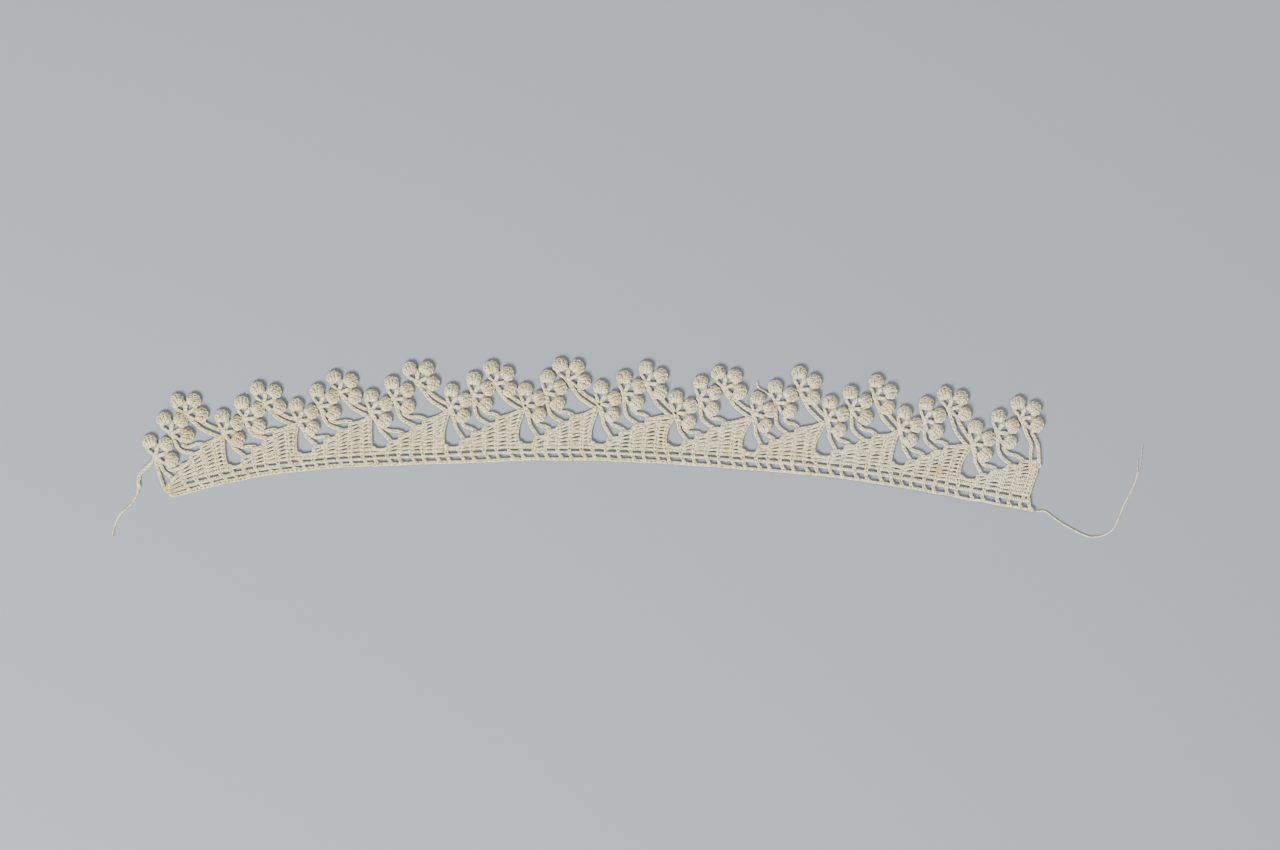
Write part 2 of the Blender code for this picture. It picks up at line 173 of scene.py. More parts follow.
# The stem from the first hub down to the left corner, and how far the ends of the first pair move
CORNER_STEM = ((1.8, 16.8), (1.5, 14.2), (1.6, 11.3), (1.7, 8.4), (2.0, 5.1), (2.5, 2.4))
FIRST_FOOT = (-0.5, -1.5)

# Hubs that stand open in their middle, each a repeat and a shamrock
OPEN_HUBS = ((5, 0), (6, 0), (7, 0))
OPEN_HUB_CLEAR = 0.95

# Rings of yarn at a hub: radius, height and tilt of each. An open hub has the first alone
HUB_RINGS = ((0.66, 0.55, 0.05), (0.48, 0.85, 0.12), (0.75, 0.35, 0.1), (0.2, 0.8, 0.0))
RING_POINTS = 12
RING_LOBES = 3
RING_SWELL = 0.15

# Loose ends, each a route of (x, y) that lies on the surface. Halves say how far from their middle
# two strands lie, and swells how thick yarn is for the thread, each at its start and its end. The
# right one splits in two at one of its places
TAIL_RIGHT = (
    (132.7, -22.9), (135.5, -23.0), (137.7, -24.6), (140.9, -26.8), (144.0, -28.5),
    (147.2, -30.1), (149.4, -30.7), (152.2, -30.4), (154.4, -29.5), (156.3, -27.8),
    (157.9, -24.3), (159.2, -21.1), (161.0, -17.7), (162.6, -14.2), (163.7, -11.0),
    (164.3, -8.2), (164.5, -5.7), (164.9, -3.1),
)
SPLIT_AT = 13
SHORT_PLY = ((162.6, -14.2), (163.2, -11.2), (163.4, -9.2), (163.3, -7.2))
PLY_SWELLS = ((1.0, 1.0), (0.75, 0.45), (0.6, 0.35))
RIGHT_STEP = 0.6

# The left one starts as a braid, whose length, stitch and half width are given
TAIL_LEFT = (
    (-131.6, -6.9), (-132.4, -7.8), (-133.2, -8.7), (-134.2, -9.7), (-135.2, -10.7),
    (-136.0, -11.7), (-136.5, -12.8), (-136.7, -13.9), (-136.6, -15.0), (-136.6, -16.0),
    (-137.2, -18.1), (-138.9, -20.6), (-140.5, -22.2), (-142.0, -23.6), (-143.5, -26.4),
    (-144.3, -29.1), (-144.4, -30.7),
)
LEFT_STEP = 0.3
LEFT_HALVES = (0.2, 0.08)
LEFT_SWELLS = (1.0, 0.8)
BRAIDED = 11.0
BRAID_PITCH = 1.25
BRAID_HALF = 0.38

# The one at the top frays at its tip, where each fibre goes so far (across, out)
LOOSE_END = ((54.0, 11.2), (52.8, 12.0), (51.3, 13.1), (50.1, 13.7), (49.3, 14.5), (49.1, 15.3))
END_HALVES = (0.16, 0.16)
END_SWELLS = (0.9, 0.7)
FRAYED = ((-0.9, 0.6), (-0.3, 1.0), (0.2, 0.9), (0.6, 0.5))
FRAYED_FROM = 0.5
FRAYED_HEIGHTS = (0.2, 0.1)
FRAYED_SWELLS = (0.4, 0.15)

# Heights over the surface
POST_HEIGHT = 0.52
HEAD_HEIGHTS = (0.45, 0.88)
CHAIN_HEIGHTS = (0.42, 0.74)
CORE_HEIGHTS = (0.2, 0.28)

# A chain's loop: its reach each way for its pitch, its width and how that tapers. Then how far it
# may stray and how wide it may be, and the yarn behind it as shares of the loop
LOOP_POINTS = 10
LOOP_REACH = 0.78
LOOP_WIDE = 0.92
LOOP_TAPER = 0.36
LOOP_STRAY = 0.06
LOOP_WIDTHS = (0.9, 1.08)
CORE_POINTS = 6
CORE_PITCH = 0.8
CORE_WIDE = 0.6
CORE_THICK = 0.8

# A puffed leaf: how far its middle is from the hub, its radius and how much shorter it is than
# wide. Its legs are given as (out, to the side)
LEAF_REACH = 4.8
LEAF_RADIUS = 2.35
LEAF_SQUAT = 0.93
LEAF_SIZES = (0.97, 1.03)
LEG_START = (0.5, 0.2)
LEG_START_OPEN = (OPEN_HUB_CLEAR, 0.45)
LEG = ((1.4, 0.7), (2.3, 1.16), (3.3, 1.6))
LEG_PITCH = 1.1
LEG_HALF = 0.27

# The roll that puffs the leaf, the fan of stitches over it, and the dome that the fan rises to
ROLL_RADIUS = 0.95
ROLL_HEIGHT = 0.8
ROLL_THICK = 3.0
FAN_POSTS = 7
FAN_SPREAD = 122
FAN_STRAY = 0.05
FAN_FOOT = (3.0, 0.8)
FAN_FOOT_OUT = 0.2
FAN_UNDER_RIM = 0.5
FAN_HALVES = (0.17, 0.18)
FAN_RISE = 0.17
DOME_FOOT = 0.85
DOME_PUFF = 0.9
DOME_LONG = 3.0
DOME_FROM = 0.08
DOME_SPAN = 0.86

# The scallops of the leaf's rim
RIM_BUMPS = 8
RIM_SPREAD = 126
RIM_SIZES = (0.8, 1.25)
RIM_THICK = 1.3
RIM_INSET = 0.6
RIM_OUT = 0.35
RIM_WIDE = 0.66
RIM_HEIGHT = 0.98
RIM_DROOP = 0.16
RIM_TILT = 0.12

# Yarn that lies deep under the yarn around it is painted darker, as painted shade: the width of a
# cell in which the highest yarn is looked for, and how far under it the painted shade is darkest
CELL = 0.36
DEEP = 0.9

# How the yarn winds: millimetres to a turn in a stitch, in a leaf and in a loose end, points to a
# turn, and the radians in which the first turn may start. Then how far its two sides stand apart
# at their ends, and how soon they part
STITCH_TURN = 1.35
LEAF_TURN = 1.5
PLY_TURN = 1.9
TURN_SAMPLES = 7
ANY_TURN = 6.0
ROPE_END = 0.3
ROPE_PARTS = 5

# The thread's own plies, and the millimetres of yarn in which one comes round
PLIES = 3
PLY_LENGTH = 1.5

# How fine a route is drawn: parts between two of its places, millimetres between the points of a
# track, and sides of the round yarn
ROUTE_PARTS = 12
TRACK_STEP = 0.2
TUBE_SIDES = 6

# How dark the painted shade on deep yarn is in each material, and the height at which stains are
# deepest
ENDS_PAINTED_SHADE = 0.5
STEMS_PAINTED_SHADE = 0.6
LEAVES_PAINTED_SHADE = 0.25
GROUND_PAINTED_SHADE = 1.0
STAIN_HEIGHT = 0.7

# Where each material's or piece's random draws start
BRAID_SEED = 7
STEMS_SEED = 11
LEAVES_SEED = 23
GROUND_SEED = 31

# Marks that age has left on the cotton: x, y, radius in millimetres and strength
Stain = namedtuple("Stain", "x y radius strength")
STAINS = (
    Stain(103.3, -10.6, 2.2, 0.55),
    Stain(91.9, -14.0, 2.0, 0.30),
    Stain(-122.3, -0.1, 3.4, 0.40),
    Stain(-107.0, -1.1, 3.4, 0.35),
    Stain(-127.6, -16.2, 4.0, 0.40),
)

# The board and the camera straight above it, then each lamp's place, size and power, in metres
# and watts
BOARD_HALF = 1.5
CAMERA_AT = (0.0139, 0.00295, 0.9077)
CAMERA_LENS = 85
CAMERA_SENSOR = 36
CAMERA_NEAREST = 0.01
LAMPS = (
    ("key", (-0.62, -0.85, 0.85), 0.45, 48.0),
    ("fill", (0.7, 0.35, 1.0), 0.9, 8.0),
)
SKY_STRENGTH = 0.5

Station = namedtuple("Station", "x y angle")
Track = namedtuple("Track", "points step")
# Yarn through some points, so many times as thick as the thread at its start and its end
Yarn = namedtuple("Yarn", "points start end", defaults=(1.0, 1.0))


# Places on the lace

def repeat_starts():
    """Give the place along the heading where each repeat's wall stands, and the far end."""
    starts = [FIRST_WALL]
    for repeat in REPEATS:
        starts.append(starts[-1] + repeat.length)
    return starts


def slope_at(along, starts):
    """Give the heading's slope in radians, which changes evenly from repeat to repeat."""
    middles = [(max(a, 0.0) + b) / 2 for a, b in zip(starts, starts[1:])]
    if along <= middles[0]:
        return math.radians(REPEATS[0].slope)
    for i in range(1, len(middles)):
        if along <= middles[i]:
            share = (along - middles[i - 1]) / (middles[i] - middles[i - 1])
            slope = REPEATS[i - 1].slope * (1 - share) + REPEATS[i].slope * share
            return math.radians(slope)
    return math.radians(REPEATS[-1].slope)


def walk_heading(starts):
    """Walk the heading's line in short steps and give the station at each."""
    first_slope = math.radians(REPEATS[0].slope)
    x = HEADING_X - WALK_BEFORE * math.cos(first_slope)
    y = HEADING_Y - WALK_BEFORE * math.sin(first_slope)
    stations = []
    steps = round((WALK_BEFORE + starts[-1] + WALK_AFTER) / WALK_STEP)
    for i in range(steps + 1):
        slope = slope_at(i * WALK_STEP - WALK_BEFORE, starts)
        stations.append(Station(x, y, slope))
        x += math.cos(slope) * WALK_STEP
        y += math.sin(slope) * WALK_STEP
    return stations


STARTS = repeat_starts()
STATIONS = walk_heading(STARTS)


def station_at(along):
    """Read the heading's line between two stations."""
    place = (along + WALK_BEFORE) / WALK_STEP
    i = min(max(int(place), 0), len(STATIONS) - 2)
    share = place - i
    a, b = STATIONS[i], STATIONS[i + 1]
    return Station(*(p * (1 - share) + q * share for p, q in zip(a, b)))


def on_lace(along, up):
    """Turn a place on the lace into x and y."""
    base = station_at(along)
    return Vector((base.x - math.sin(base.angle) * up, base.y + math.cos(base.angle) * up))


def hub_place(index, number):
    """Give a hub's place on the lace."""
    shift = REPEATS[index].shamrocks[number]
    along, up = HUBS[number]
    return STARTS[index] + along + shift[0], up + shift[1]


def wall_top(index):
    """Give the top of the wall at the start of a repeat, just under its first hub."""
    hub = hub_place(index, 0)
    return hub[0] + WALL_TOP_FROM_HUB[0], hub[1] + WALL_TOP_FROM_HUB[1]


def row_edge(index, row):
    """Give the line between two rows of stitches, from the heading to the ground's top."""
    repeat = REPEATS[index]
    if index == 0 and row == 1:
        return list(LEFT_EDGE)
    if row == ROWS_PER_REPEAT and index + 1 == len(REPEATS):
        return [(STARTS[-1] + along, up) for along, up in RIGHT_EDGE]
    along = STARTS[index] + row * repeat.length / ROWS_PER_REPEAT
    side = BAR_SHIFT if row % 2 else -BAR_SHIFT
    if (index + 1, row + 1) == (len(REPEATS), ROWS_PER_REPEAT):
        side = LAST_BAR_SHIFT
    middle = along + side + repeat.bars
    line = [(middle + BAR_LEAN * repeat.hole, BAR_FOOT), (middle, HOLE_MIDDLE),
            (along + repeat.bars / 2, repeat.slit)]
    if row == ROWS_PER_REPEAT:
        return line + [(along - WALL_LEAN, WALL_FOOT),
                       (along - WALL_LEAN, WALL_BEND + repeat.lift), wall_top(index + 1)]
    top = max(ROW_TOPS[row - 1][1], ROW_TOPS[row][0]) + repeat.lift
    return line + [(along + ROW_LEAN, top - EDGE_UNDER)]


def along_at(line, up):
    """Read where a row's edge stands at a height over the heading."""
    for a, b in zip(line, line[1:]):
        if up <= b[1] or b == line[-1]:
            share = (up - a[1]) / (b[1] - a[1])
            return a[0] + (b[0] - a[0]) * share
    return line[-1][0]


def blend_route(route, index, hub_shift, foot_shift):
    """Shift a route's start with its hub and its end with the ground."""
    placed = []
    for i, (along, up) in enumerate(route):
        share = i / (len(route) - 1)
        move = [h * (1 - share) + f * share for h, f in zip(hub_shift, foot_shift)]
        placed.append((STARTS[index] + along + move[0], up + move[1]))
    return placed


def stem_routes(first, last):
    """Give the routes of the chain stems of some repeats."""
    routes = []
    if first == 0:
        routes.append(blend_route(CORNER_STEM, 0, REPEATS[0].shamrocks[0][:2], (0.0, 0.0)))
    for index in range(first, last):
        repeat = REPEATS[index]
        for number, pair in enumerate(STEMS):
            to_hub = number + 1 == len(STEMS) and index + 1 < len(REPEATS)
            if number + 1 == len(STEMS) and not to_hub:
                pair = LAST_STEMS
            stretch = repeat.length / PATTERN_LENGTH
            for route in pair:
                foot = (route[-1][0] * (stretch - 1), repeat.lift)
                if (index, number) == (0, 0):
                    foot = FIRST_FOOT
                if to_hub:
                    hub = hub_place(index + 1, 0)
                    foot = (hub[0] - STARTS[index] - PATTERN_LENGTH - HUBS[0][0],
                            hub[1] - HUBS[0][1])
                placed = blend_route(route, index, repeat.shamrocks[number][:2], foot)
                if route is pair[0] and (index, number) in OPEN_HUBS:
                    placed[0] = short_of(placed[0], placed[1])
                if to_hub and route is pair[1] and (index + 1, 0) in OPEN_HUBS:
                    placed[-1] = short_of(hub, placed[-2])
                routes.append(placed)
    return routes


def short_of(hub, then):
    """Give the place where a stem meets the ring of an open hub, coming from another place."""
    away = Vector(then) - Vector(hub)
    return tuple(Vector(hub) + away.normalized() * OPEN_HUB_CLEAR)


# Ways that the yarn goes

def smooth_track(points, step):
    """Run a smooth curve through some points and read it at an even spacing."""
    ends = [2 * points[0] - points[1]] + points + [2 * points[-1] - points[-2]]
    fine = []
    for i in range(1, len(ends) - 2):
        p0, p1, p2, p3 = ends[i - 1:i + 3]
        for j in range(ROUTE_PARTS):
            t = j / ROUTE_PARTS
            fine.append(0.5 * (2 * p1 + (p2 - p0) * t + (2 * p0 - 5 * p1 + 4 * p2 - p3) * t ** 2
                               + (3 * p1 - p0 - 3 * p2 + p3) * t ** 3))
    fine.append(points[-1])
    lengths = [0.0]
    for a, b in zip(fine, fine[1:]):
        lengths.append(lengths[-1] + (b - a).length)
    count = max(round(lengths[-1] / step), 1)
    even = []
    k = 0
    for i in range(count + 1):
        want = lengths[-1] * i / count
        while k < len(fine) - 2 and lengths[k + 1] < want:
            k += 1
        span = lengths[k + 1] - lengths[k]
        even.append(fine[k].lerp(fine[k + 1], (want - lengths[k]) / span))
    return Track(even, lengths[-1] / count)


def board_track(route, step):
    """Make a track of places on the board."""
    return smooth_track([Vector(spot) for spot in route], step)


def track_length(track):
    """Give a track's length."""
    return (len(track.points) - 1) * track.step


def on_track(track, along, across, height):
    """Give the point some way along a track, to its left and over the surface."""
    place = along / track.step
    i = min(max(int(place), 0), len(track.points) - 2)
    a, b = track.points[i], track.points[i + 1]
    way = (b - a).normalized()
    spot = a + (b - a) * (place - i)
    return Vector((spot.x - way.y * across, spot.y + way.x * across, height))


def chain_loop(track, start, pitch, wide, heights, count):
    """Give one closed loop of a chain: narrow and high where it comes out of the loop before it,
    wide and low where the next one comes out of it."""
    low, high = heights
    loop = []
    for i in range(count):
        turn = 2 * math.pi * i / count
        along = start + pitch * (0.5 - LOOP_REACH * math.cos(turn))
        across = wide * math.sin(turn) * (LOOP_WIDE - LOOP_TAPER * math.cos(turn))
        height = (low + high) / 2 + (high - low) / 2 * math.cos(turn)
        loop.append(on_track(track, along, across, height))
    return loop


def chain(track, pitch, wide, heights, chance, core=True):
    """Give the loops of a chain of crochet along a track, with the yarn that lies behind them."""
    links = max(round(track_length(track) / pitch), 1)
    even = track_length(track) / links
    yarns = []
    for i in range(links):
        start = i * even + chance.uniform(-LOOP_STRAY, LOOP_STRAY)
        width = wide * chance.uniform(*LOOP_WIDTHS)
        yarns.append(Yarn(chain_loop(track, start, even, width, heights, LOOP_POINTS)))
        if core:
            behind = chain_loop(track, start + even / 2, even * CORE_PITCH, wide * CORE_WIDE,
                                CORE_HEIGHTS, CORE_POINTS)
            yarns.append(Yarn(behind, CORE_THICK, CORE_THICK))
    return yarns


def rope_loop(place, length, half, rise, height, pitch, phase):
    """Give a closed loop drawn out long, whose two sides wind round each other like a rope. Its
    half width and its height are given for a share of the way."""
    turns = length / pitch
    samples = max(round(turns * TURN_SAMPLES), TURN_SAMPLES)
    loop = []
    for i in range(2 * samples):
        share = (i + 0.5) / samples
        side = 1
        if i >= samples:
            share = 2 - share
            side = -1
        open_by = side * min(1.0, ROPE_END + ROPE_PARTS * min(share, 1 - share))
        wound = phase + 2 * math.pi * turns * share
        across = half(share) * open_by * math.cos(wound)
        loop.append(place(length * share, across,
                          height(share) + rise * open_by * math.sin(wound)))
    return loop


def twisted_pair(track, thick, halves, swells):
    """Give two strands that wind round each other along a track on the surface, so far apart and
    so thick at its start and its end."""
    length = track_length(track)
    samples = round(length / PLY_TURN * TURN_SAMPLES)
    yarns = []
    for phase in (0.0, math.pi):
        strand = []
        for i in range(samples + 1):
            share = i / samples
            half = halves[0] * (1 - share) + halves[1] * share
            swell = swells[0] * (1 - share) + swells[1] * share
            turn = phase + 2 * math.pi * length * share / PLY_TURN
            strand.append(on_track(track, length * share, half * math.cos(turn),
                                   half * (1 + math.sin(turn)) + thick * swell / 2
                                   + KEEP_OVER))
        yarns.append(Yarn(strand, *swells))
    return yarns


def between(left, right):
    """Give a way to place points from one place on the lace towards another."""
    a, b = on_lace(*left), on_lace(*right)
    way = (b - a).normalized()

    def place(along, across, height):
        return Vector((a.x + way.x * along - way.y * across,
                       a.y + way.y * along + way.x * across, height))

    return place, (b - a).length


def post(left, right, wide, slit, chance):
    """Give the yarn of one double crochet that lies between two edges of its row. It draws in by
    the slit at its middle."""
    place, length = between(left, right)
    aside = chance.uniform(-POST_STRAY, POST_STRAY)
    full = wide / 2 - POST_INSET

    def shifted(along, across, height):
        return place(along, across + aside, height)

    def half(share):
        return full - slit * math.exp(-((share - 0.5) / SLIT_REACH) ** 4)

    def height(share):
        return POST_HEIGHT

    return Yarn(rope_loop(shifted, length, half, POST_RISE, height, STITCH_TURN,
                          chance.uniform(0.0, ANY_TURN)), POST_THICK, POST_THICK)


def row_posts(index, row, chance):
    """Give the yarn of one row's stitches: one along the heading, then the solid ones."""
    repeat = REPEATS[index]
    if index == 0 and row == 1:
        return []
    left, right = row_edge(index, row - 1), row_edge(index, row)
    if row == 1:
        left = row_edge(index - 1, ROWS_PER_REPEAT)
    tops = [top + repeat.lift for top in ROW_TOPS[row - 1]]
    if index == 0 and row == 2:
        tops[0] = LEFT_ROW_TOP
    if row == ROWS_PER_REPEAT:
        tops[1] = right[-1][1]
    hole_top = HOLE_MIDDLE + repeat.hole / 2
    slit_foot = repeat.slit - SLIT_HIGH / 2
    foot = slit_foot if (index, row) in CLOSED_SLITS else repeat.slit + SLIT_HIGH / 2
    ups = [((hole_top + slit_foot) / 2, (hole_top + slit_foot) / 2, slit_foot - hole_top, 0.0)]
    if (index, row) in CLOSED_HOLES:
        foot = hole_top - repeat.hole
        ups = []
    count = max(round(((tops[0] + tops[1]) / 2 - foot) / STITCH_WIDE), 1)
    for i in range(count):
        share = (i + 0.5) / count
        low = foot + (tops[0] - foot) * share
        high = foot + (tops[1] - foot) * share
        slit = chance.choice(SLITS)
        ups.append((low, high, ((tops[0] + tops[1]) / 2 - foot) / count, slit))
    return [post((along_at(left, up_left), up_left), (along_at(right, up_right), up_right),
                 wide, slit, chance) for up_left, up_right, wide, slit in ups]


def ground_top(index):
    """Give the line along the top of the ground of a repeat, from its wall to the next one."""
    repeat = REPEATS[index]
    line = [(STARTS[index] + along * repeat.length / PATTERN_LENGTH,
             up + repeat.lift - TOP_CHAIN_UNDER) for along, up in GROUND_TOP]
    if index == 0:
        line = [LEFT_EDGE[-1]] + [place for place in line if place[0] > LEFT_TOP_FROM]
    if index + 1 < len(REPEATS):
        line.append(wall_top(index + 1))
    return line


def lace_track(line):
    """Make a track of places on the lace."""
    return smooth_track([on_lace(*spot) for spot in line], TRACK_STEP)


def ground_yarns(first, last, chance):
    """Give the yarn of the ground of some repeats: rows, their edges and the heading's edge."""
    yarns = []
    for index in range(first, last):
        repeat = REPEATS[index]
        for row in range(1, ROWS_PER_REPEAT + 1):
            yarns += row_posts(index, row, chance)
            edge = row_edge(index, row)
            yarns += chain(lace_track(edge[:3]), STITCH_WIDE, BAR_HALF, HEAD_HEIGHTS, chance)
            yarns += chain(lace_track(edge[2:]), STITCH_WIDE, EDGE_HALF, HEAD_HEIGHTS, chance,
                           False)
        yarns += chain(lace_track(ground_top(index)), STITCH_WIDE, TOP_HALF, HEAD_HEIGHTS,
                       chance, False)
        wide = HOLE_MIDDLE - repeat.hole / 2
        start, end = max(STARTS[index], 0.0), STARTS[index + 1]
        if index + 1 == len(REPEATS):
            end -= HEADING_SHORT
        line = [(start + (end - start) * i / ROWS_PER_REPEAT,
                 wide / 2 + chance.uniform(*HEADING_WAVE)) for i in range(ROWS_PER_REPEAT + 1)]
        yarns += chain(lace_track(line), HEADING_PITCH, (wide - THREAD) / 2, CHAIN_HEIGHTS,
                       chance)
    return yarns


def leaf_place(hub, heading, size):
    """Give a way to place points of a leaf, out from its hub and to its left."""
    cos, sin = size * math.cos(heading), size * math.sin(heading)

    def place(out, aside, height):
        return Vector((hub.x + cos * out - sin * aside, hub.y + sin * out + cos * aside, height))

    return place


def leaf_yarns(hub, heading, is_open, chance):
    """Give the yarn of a puffed leaf: two legs, a roll, a fan of stitches and a scalloped rim."""
    place = leaf_place(hub, heading, chance.uniform(*LEAF_SIZES))
    yarns = []
    start = LEG_START_OPEN if is_open else LEG_START
    for side in (1, -1):
        leg = [place(out, side * aside, 0).xy for out, aside in (start, *LEG)]
        yarns += chain(smooth_track(leg, TRACK_STEP), LEG_PITCH, LEG_HALF, CHAIN_HEIGHTS,
                       chance, False)
    roll = []
    for i in range(LOOP_POINTS):
        turn = 2 * math.pi * i / LOOP_POINTS
        roll.append(place(LEAF_REACH + ROLL_RADIUS * math.cos(turn),
                          ROLL_RADIUS * math.sin(turn), ROLL_HEIGHT))
    yarns.append(Yarn(roll, ROLL_THICK, ROLL_THICK))
    reach = LEAF_RADIUS - FAN_UNDER_RIM
    for i in range(FAN_POSTS):
        bearing = math.radians(FAN_SPREAD * (2 * i / (FAN_POSTS - 1) - 1))
        bearing += chance.uniform(-FAN_STRAY, FAN_STRAY)
        foot = Vector((FAN_FOOT[0] + FAN_FOOT_OUT * abs(math.sin(bearing)),
                       FAN_FOOT[1] * math.sin(bearing)))
        tip = Vector((LEAF_REACH + reach * LEAF_SQUAT * math.cos(bearing),
                      reach * math.sin(bearing)))
        length = (tip - foot).length
        way = (tip - foot).normalized()

        def ray(along, across, height, foot=foot, way=way):
            return place(foot.x + way.x * along - way.y * across,
                         foot.y + way.y * along + way.x * across, height)

        def half(share):
            return FAN_HALVES[0] + FAN_HALVES[1] * share

        def dome(share, length=length):
            puff = math.sin(math.pi * min(share * DOME_SPAN + DOME_FROM, 1.0))
            return DOME_FOOT + DOME_PUFF * puff * min(length / DOME_LONG, 1.0)

        yarns.append(Yarn(rope_loop(ray, length, half, FAN_RISE, dome, LEAF_TURN,
                                    chance.uniform(0.0, ANY_TURN))))
    for i in range(RIM_BUMPS):
        bearing = math.radians(RIM_SPREAD * (2 * i / (RIM_BUMPS - 1) - 1))
        yarns.append(Yarn(rim_loop(place, bearing, chance.uniform(*RIM_SIZES)), RIM_THICK,
                          RIM_THICK))
    return yarns


def rim_loop(place, bearing, size):
    """Give one scallop of a leaf's rim: a loop of yarn that bulges outwards."""
    loop = []
    for i in range(LOOP_POINTS):
        turn = 2 * math.pi * i / LOOP_POINTS
        out = LEAF_RADIUS - RIM_INSET + RIM_OUT * size * math.sin(turn)
        at = bearing + RIM_WIDE * size * math.cos(turn) / LEAF_RADIUS
        height = RIM_HEIGHT - RIM_DROOP * math.sin(turn) + RIM_TILT * math.cos(turn)
        loop.append(place(LEAF_REACH + LEAF_SQUAT * out * math.cos(at), out * math.sin(at),
                          height))
    return loop


def hub_yarns(hub, is_open, chance):
    """Give the yarn that crosses at a hub: a ring, and the turns over it unless it stands open."""
    yarns = []
    for radius, height, tilt in HUB_RINGS[:1] if is_open else HUB_RINGS:
        turn_from = chance.uniform(0.0, ANY_TURN)
        ring = []
        for i in range(RING_POINTS):
            turn = turn_from + 2 * math.pi * i / RING_POINTS
            swell = radius * (1 + RING_SWELL * math.sin(RING_LOBES * turn))
            ring.append(Vector((hub.x + swell * math.cos(turn), hub.y + swell * math.sin(turn),
                                height + tilt * math.sin(turn * 2))))
        yarns.append(Yarn(ring))
    return yarns


# Making pieces

def tube_mesh(name, yarns, thick, closed):
    """Lay round yarn, given in millimetres, and give it as one mesh whose UV map counts the
    millimetres of yarn along and the turn round it."""
    curve = bpy.data.curves.new(name, "CURVE")
    curve.dimensions = "3D"
    curve.bevel_depth = thick / 2
    curve.bevel_resolution = TUBE_SIDES // 2 - 2
    curve.use_fill_caps = not closed
    for yarn in yarns:
        spline = curve.splines.new("POLY")
        spline.points.add(len(yarn.points) - 1)
        for i, (point, spot) in enumerate(zip(spline.points, yarn.points)):
            point.co = (*(spot * MM), 1.0)
            point.radius = yarn.start + (yarn.end - yarn.start) * i / (len(yarn.points) - 1)
        spline.use_cyclic_u = closed
        spline.use_smooth = True
    thing = bpy.data.objects.new(name, curve)
    bpy.context.scene.collection.objects.link(thing)
    bpy.context.view_layer.update()
    shown = thing.evaluated_get(bpy.context.evaluated_depsgraph_get())
    mesh = bpy.data.meshes.new_from_object(shown)
    bpy.data.objects.remove(thing)
    bpy.data.curves.remove(curve)
    stretch_uv(mesh, yarns, closed)
    mark_sunken(mesh)
    return mesh


def stretch_uv(mesh, yarns, closed):
    """Stretch the UV map of each length of yarn to its millimetres. A face has four corners, and
    an open length of yarn has a cap at each end."""
    layer = mesh.uv_layers[0].data
    places = [0.0] * (2 * len(layer))
    layer.foreach_get("uv", places)
    corner = 0
    for yarn in yarns:
        ring = yarn.points + yarn.points[:1] if closed else yarn.points
        length = sum((b - a).length for a, b in zip(ring, ring[1:]))
        corners = (len(ring) - 1) * TUBE_SIDES * 4
        for i in range(corner, corner + corners):
            places[2 * i] *= length
        corner += corners if closed else corners + 2 * TUBE_SIDES
    layer.foreach_set("uv", places)


def mark_sunken(mesh):
    """Note at every point how deep it lies under the yarn around it, from 0 to 1, for the material
    to paint as shade.
    """
    spots = [0.0] * (3 * len(mesh.vertices))
    mesh.vertices.foreach_get("co", spots)
    cells = [(int(x // (CELL * MM)), int(y // (CELL * MM)))
             for x, y in zip(spots[0::3], spots[1::3])]
    tops = {}
    for cell, height in zip(cells, spots[2::3]):
        tops[cell] = max(tops.get(cell, 0.0), height)
    around = {}
    for x, y in tops:
        around[x, y] = max(tops.get((x + i, y + j), 0.0) for i in (-1, 0, 1) for j in (-1, 0, 1))
    sunken = [min((around[cell] - height) / (DEEP * MM), 1.0)
              for cell, height in zip(cells, spots[2::3])]
    layer = mesh.attributes.new("sunken", "FLOAT", "POINT")
    layer.data.foreach_set("value", sunken)


def add_piece(name, mesh, material, node):
    """Put a finished mesh in the scene and say what it rides on and replaces."""
    mesh.name = name
    mesh.materials.clear()
    mesh.materials.append(material)
    piece = bpy.data.objects.new(name, mesh)
    bpy.context.scene.collection.objects.link(piece)
    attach(piece, "root")
    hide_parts(node)
    return piece


# Materials

def linear(code):
    """Turn an sRGB hex colour into linear red, green, blue and alpha."""
    parts = [int(code[i:i + 2], 16) / 255 for i in (1, 3, 5)]
    return (*(p / 12.92 if p <= 0.04045 else ((p + 0.055) / 1.055) ** 2.4 for p in parts), 1.0)


def add_node(tree, kind, settings=None, links=None):
    """Add a node with its settings, and link others' outputs to its inputs."""
    node = tree.nodes.new(kind)
    for name, value in (settings or {}).items():
        if isinstance(name, str) and hasattr(node, name):
            setattr(node, name, value)
        else:
            node.inputs[name].default_value = value
    for name, socket in (links or {}).items():
        tree.links.new(socket, node.inputs[name])
    return node


